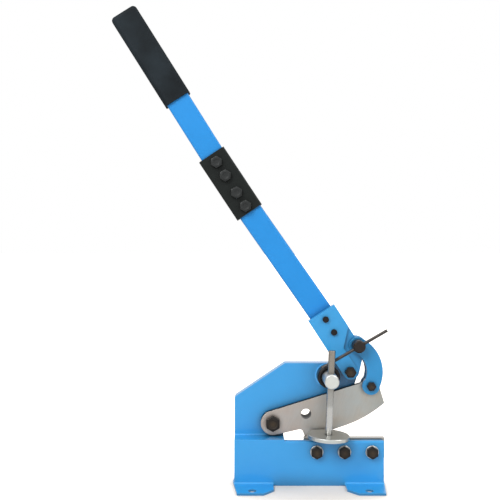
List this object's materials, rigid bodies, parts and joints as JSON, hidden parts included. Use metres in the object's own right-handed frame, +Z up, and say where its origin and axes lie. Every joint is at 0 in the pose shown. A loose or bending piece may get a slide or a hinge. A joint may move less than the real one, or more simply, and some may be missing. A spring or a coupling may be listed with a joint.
{
  "type": "bench lever shear",
  "caption": "Bench plate shear: painted frame with a fixed lower blade, link-driven swinging upper blade, long hand lever with rubber grip and adjustable hold-down disc.",
  "frame": {"origin": "middle of the four foot holes, on the bench plane", "axes": "+X along the blades towards their free ends, +Y from the front wall to the back, +Z up"},
  "size_m": [0.4457, 0.119, 0.7753],
  "materials": {
    "blue_paint": "satin blue enamel",
    "black_paint": "satin black",
    "ground_steel": "ground, brushed along the blade",
    "bright_steel": "turned, bright",
    "dark_steel": "black oxide",
    "black_rubber": "matte"
  },
  "bodies": {
    "frame": {"frame_casting": "blue_paint", "lower_blade": "ground_steel", "lower_blade_bolts": "dark_steel", "lower_blade_washers": "bright_steel", "blade_pivot_bolt": "dark_steel", "blade_pivot_washer": "bright_steel", "blade_pivot_nut": "dark_steel", "lever_pivot_bolt": "dark_steel", "lever_pivot_nut": "dark_steel"},
    "lever": {"lever_plate": "blue_paint", "lever_back_strap": "blue_paint", "lever_screws": "dark_steel", "lower_tube": "blue_paint", "upper_tube": "blue_paint", "splice_sleeve": "black_paint", "splice_bolts": "dark_steel", "splice_nuts": "dark_steel", "handle_grip": "black_rubber", "link_pivot_pin": "dark_steel"},
    "links": {"front_link": "blue_paint", "rear_link": "blue_paint", "link_bolt": "dark_steel", "link_nut": "dark_steel"},
    "moving_blade": {"upper_blade": "ground_steel"},
    "clamp": {"clamp_knob": "dark_steel"},
    "tommy": {"tommy_bar": "dark_steel"},
    "arm": {"hold_down_arm": "bright_steel", "hold_down_collar": "dark_steel", "hold_down_washer": "bright_steel", "hold_down_nut": "dark_steel", "hold_down_set_screw": "dark_steel"},
    "presser": {"hold_down_rod": "bright_steel", "hold_down_disc": "bright_steel"}
  },
  "joints": [
    {"name": "lever_swing", "type": "hinge", "parent": "frame", "child": "lever", "pos_m": [0.0682, 0.012, 0.1778], "axis": [0, 1, 0], "range_deg": [0, 82]},
    {"name": "blade_swing", "type": "hinge", "parent": "frame", "child": "moving_blade", "pos_m": [-0.057, 0.0132, 0.0942], "axis": [0, 1, 0], "range_deg": [0, 17.3]},
    {"name": "link_turn", "type": "hinge", "parent": "lever", "child": "links", "pos_m": [0.07934, 0.0132, 0.2215], "axis": [0, 1, 0], "range_deg": [-58.8, 0]},
    {"name": "clamp_turn", "type": "hinge", "parent": "lever", "child": "clamp", "pos_m": [0.07934, -0.0105, 0.2215], "axis": [0, 1, 0], "range_deg": [0, 180]},
    {"name": "tommy_slide", "type": "slide", "parent": "clamp", "child": "tommy", "axis": [0.866, 0, 0.5], "range_m": [-0.041, 0.058]},
    {"name": "arm_swivel", "type": "hinge", "parent": "frame", "child": "arm", "pos_m": [0.033, 0, 0.1703], "axis": [0, 1, 0], "range_deg": [-8, 6]},
    {"name": "rod_slide", "type": "slide", "parent": "arm", "child": "presser", "axis": [0.0419, 0, 0.9991], "range_m": [-0.002, 0.06]}
  ],
  "couplings": [
    {"joint": "blade_swing", "follows": "lever_swing", "ratio": 0.21},
    {"joint": "link_turn", "follows": "lever_swing", "ratio": -0.715}
  ]
}
